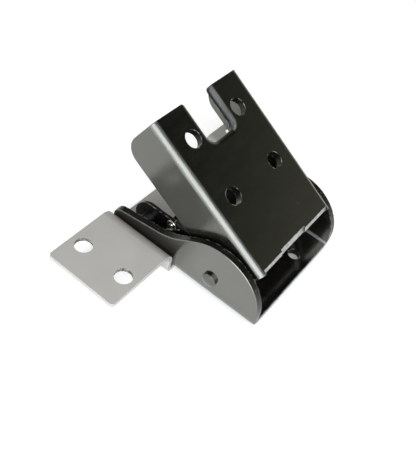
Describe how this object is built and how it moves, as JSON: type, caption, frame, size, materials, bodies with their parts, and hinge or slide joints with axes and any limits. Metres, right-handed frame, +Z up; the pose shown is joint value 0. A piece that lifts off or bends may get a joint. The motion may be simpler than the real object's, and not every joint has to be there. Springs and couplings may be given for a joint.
{
  "type": "folding leg bracket",
  "caption": "Folding table-leg bracket: channel base on a cross strap, with a notched leg channel that swings upright or flat against a sprung detent lever.",
  "frame": {"origin": "middle of the strap's four screw holes, on the face that meets the panel", "axes": "+X along the base from the strap to the pivot end, +Y across it, +Z up, out of the panel"},
  "size_m": [0.0604, 0.0988, 0.0495],
  "materials": {
    "base_paint": "gloss black",
    "leg_paint": "gloss black",
    "lever_paint": "satin black",
    "rivet_paint": "black, worn on the crown",
    "strap_zinc": "zinc plated, satin",
    "pin_steel": "blackened",
    "spring_wire": "bright wire",
    "washer_steel": "plain",
    "spacer_steel": "blackened",
    "strap_rivet_steel": "zinc plated"
  },
  "bodies": {
    "base": {"base_channel": "base_paint", "mounting_strap": "strap_zinc", "strap_rivet_right": "strap_rivet_steel", "strap_rivet_left": "strap_rivet_steel", "pivot_rivet_right": "rivet_paint", "pivot_rivet_left": "rivet_paint", "pivot_washer_right": "washer_steel", "pivot_washer_left": "washer_steel", "tail_washer_right": "washer_steel", "tail_washer_left": "washer_steel", "lever_pin_right": "pin_steel", "lever_pin_left": "pin_steel", "lever_spacer_right": "spacer_steel", "lever_spacer_left": "spacer_steel"},
    "leg": {"leg_channel": "leg_paint"},
    "lever": {"detent_lever": "lever_paint", "detent_pin": "pin_steel", "spring_post": "pin_steel", "detent_spring": "spring_wire"}
  },
  "joints": [
    {"name": "leg_fold", "type": "hinge", "parent": "base", "child": "leg", "pos_m": [0.028, 0.00295, 0.001], "axis": [0, 1, 0], "range_deg": [-30, 55]},
    {"name": "lever_press", "type": "hinge", "parent": "base", "child": "lever", "pos_m": [-0.0032, 0.00295, -0.00175], "axis": [0, 1, 0], "range_deg": [0, 2.2], "stiffness_Nm_per_rad": 1, "springref_deg": -5.73}
  ]
}
